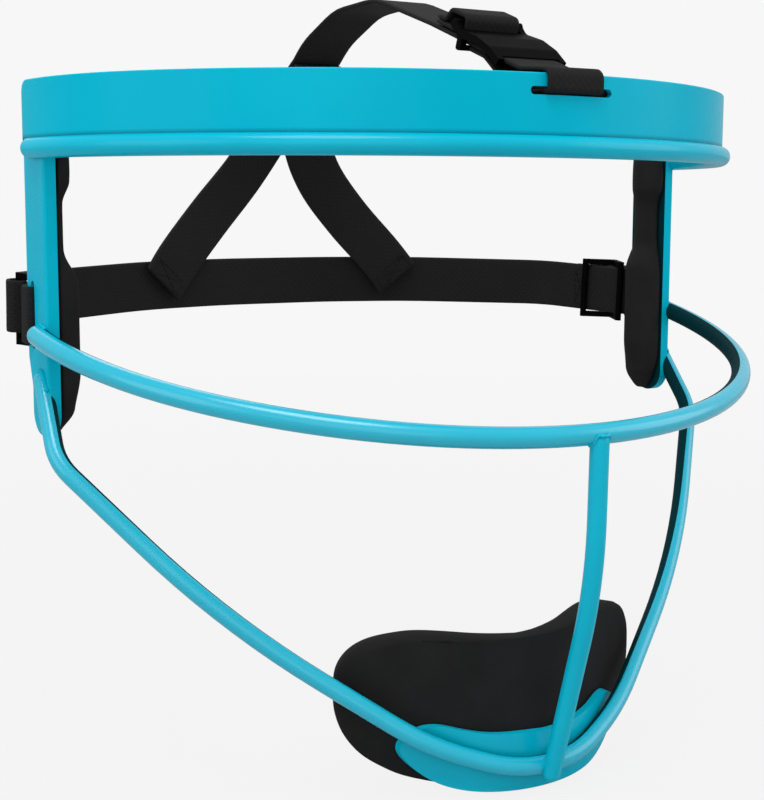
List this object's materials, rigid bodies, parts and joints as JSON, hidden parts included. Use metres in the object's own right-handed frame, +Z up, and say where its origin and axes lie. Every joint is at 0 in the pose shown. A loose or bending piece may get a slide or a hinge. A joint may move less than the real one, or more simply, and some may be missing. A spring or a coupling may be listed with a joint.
{
  "type": "sport_face_guard",
  "caption": "Softball fielder's face guard: welded coated-steel band, plates and wire cage with a chin cup, foam pads, and a webbing harness with strap sliders",
  "frame": {"origin": "midway between the two temple plates' outer faces, at about the height of the wearer's eyes", "axes": "+Z up, the wearer faces -Y, +X is the wearer's left"},
  "size_m": [0.1956, 0.157, 0.1863],
  "materials": {
    "teal_coat": "smooth satin-gloss powder coat",
    "pad_foam": "matte foam with a fine knit face",
    "hook_tape": "matte hook tape",
    "webbing": "matte woven webbing",
    "slider_plastic": "semi-gloss moulded plastic"
  },
  "bodies": {
    "guard": {"forehead_band": "teal_coat", "brow_wire": "teal_coat", "temple_plate_left": "teal_coat", "temple_plate_right": "teal_coat", "face_wire": "teal_coat", "chin_wire": "teal_coat", "centre_wire": "teal_coat", "chin_plate": "teal_coat", "chin_tape": "hook_tape", "chin_pad": "pad_foam", "forehead_tape": "hook_tape", "forehead_pad": "pad_foam", "temple_tape_left": "hook_tape", "temple_tape_right": "hook_tape", "temple_pad_left": "pad_foam", "temple_pad_right": "pad_foam", "back_strap": "webbing", "top_strap": "webbing", "diagonal_strap": "webbing"},
    "slider_left_body": {"slider_left": "slider_plastic", "slider_loop_left": "webbing"},
    "slider_right_body": {"slider_right": "slider_plastic", "slider_loop_right": "webbing"},
    "top_slider_body": {"top_slider": "slider_plastic", "top_slider_loop": "webbing"}
  },
  "joints": [
    {"name": "slider_left_slide", "type": "slide", "parent": "guard", "child": "slider_left_body", "axis": [-0.2882, 0.9561, 0.0534], "range_m": [0, 0.006]},
    {"name": "slider_right_slide", "type": "slide", "parent": "guard", "child": "slider_right_body", "axis": [0.2882, 0.9561, 0.0534], "range_m": [0, 0.006]},
    {"name": "top_slider_slide", "type": "slide", "parent": "guard", "child": "top_slider_body", "axis": [0, 0.9406, 0.3396], "range_m": [0, 0.006]}
  ]
}
